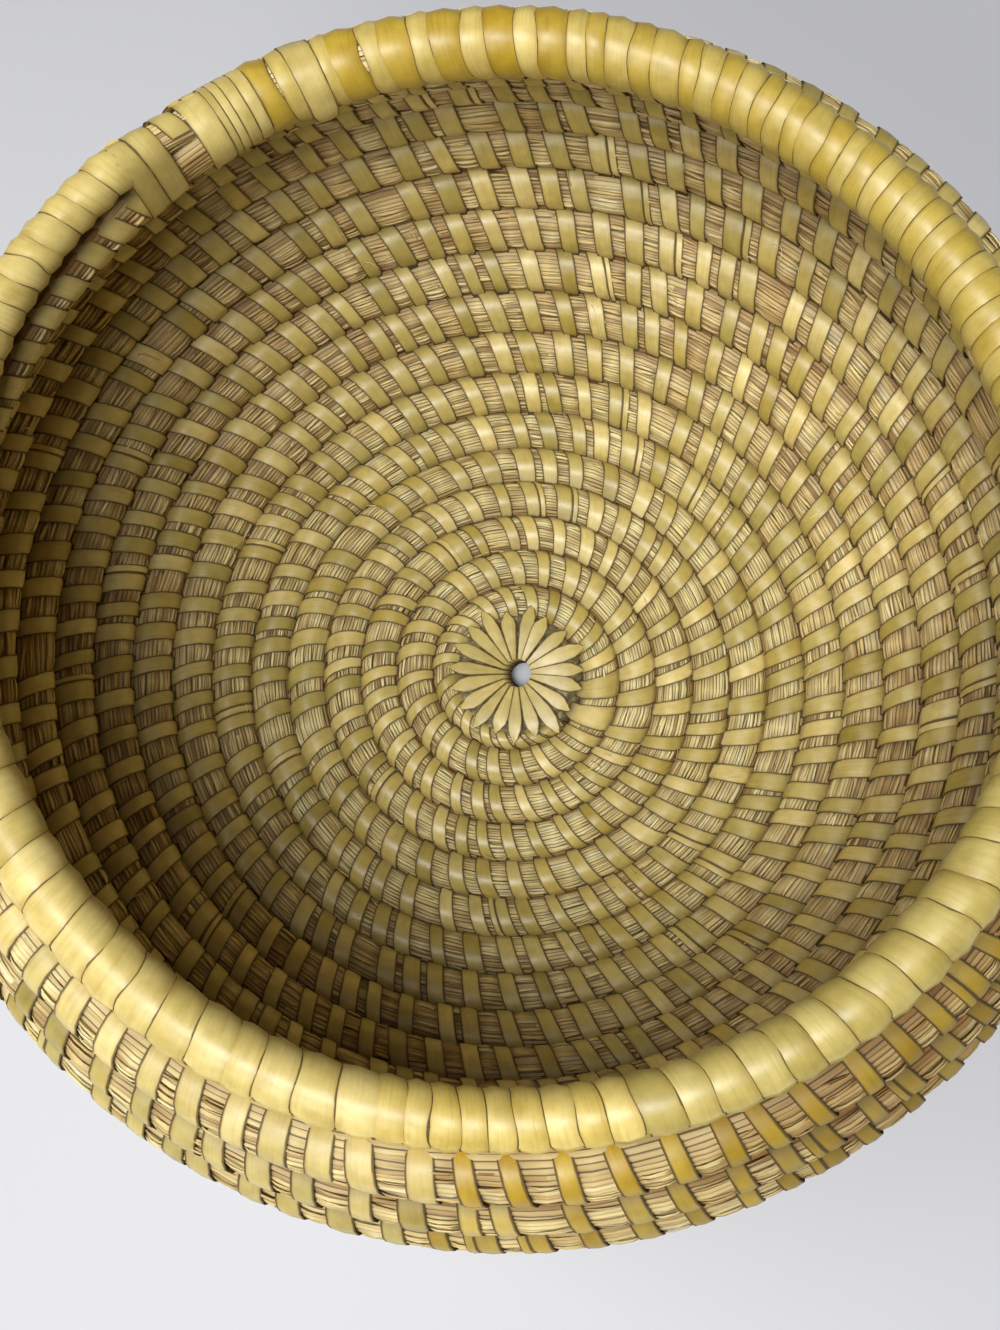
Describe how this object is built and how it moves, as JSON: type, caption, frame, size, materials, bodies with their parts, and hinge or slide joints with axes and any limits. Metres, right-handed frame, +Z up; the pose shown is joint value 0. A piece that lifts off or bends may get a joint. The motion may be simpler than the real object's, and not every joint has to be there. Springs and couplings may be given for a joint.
{
  "type": "coiled basket",
  "caption": "Small round coiled basket: a dried-grass bundle wound in a spiral bowl, sewn with palm-leaf strips, with a drawn-in, closely wrapped rim and an open centre hole.",
  "frame": {"origin": "on the table under the middle of the base", "axes": "+Z up out of the mouth, -Y towards the side nearest the camera, +X to the right in the picture; from above the spiral runs clockwise going outward"},
  "size_m": [0.2114, 0.2112, 0.1184],
  "materials": {
    "grass_coil": "dry, fibrous",
    "start_ring": "dry, fibrous",
    "centre_rosette": "satin leaf strip",
    "rim_wrap_gold": "satin leaf strip",
    "rim_wrap_olive": "satin leaf strip",
    "rim_wrap_pale": "satin leaf strip",
    "rim_wrap_cream": "satin leaf strip",
    "rim_wrap_tail": "satin leaf strip",
    "joining_strip_1": "satin leaf strip",
    "joining_strip_2": "satin leaf strip",
    "joining_strip_3": "satin leaf strip"
  },
  "bodies": {
    "root": {"grass_coil": "grass_coil", "start_ring": "start_ring", "centre_rosette": "centre_rosette", "rim_wrap_gold": "rim_wrap_gold", "rim_wrap_olive": "rim_wrap_olive", "rim_wrap_pale": "rim_wrap_pale", "rim_wrap_cream": "rim_wrap_cream", "rim_wrap_tail": "rim_wrap_tail", "joining_strip_1": "joining_strip_1", "joining_strip_2": "joining_strip_2", "joining_strip_3": "joining_strip_3"}
  },
  "joints": []
}
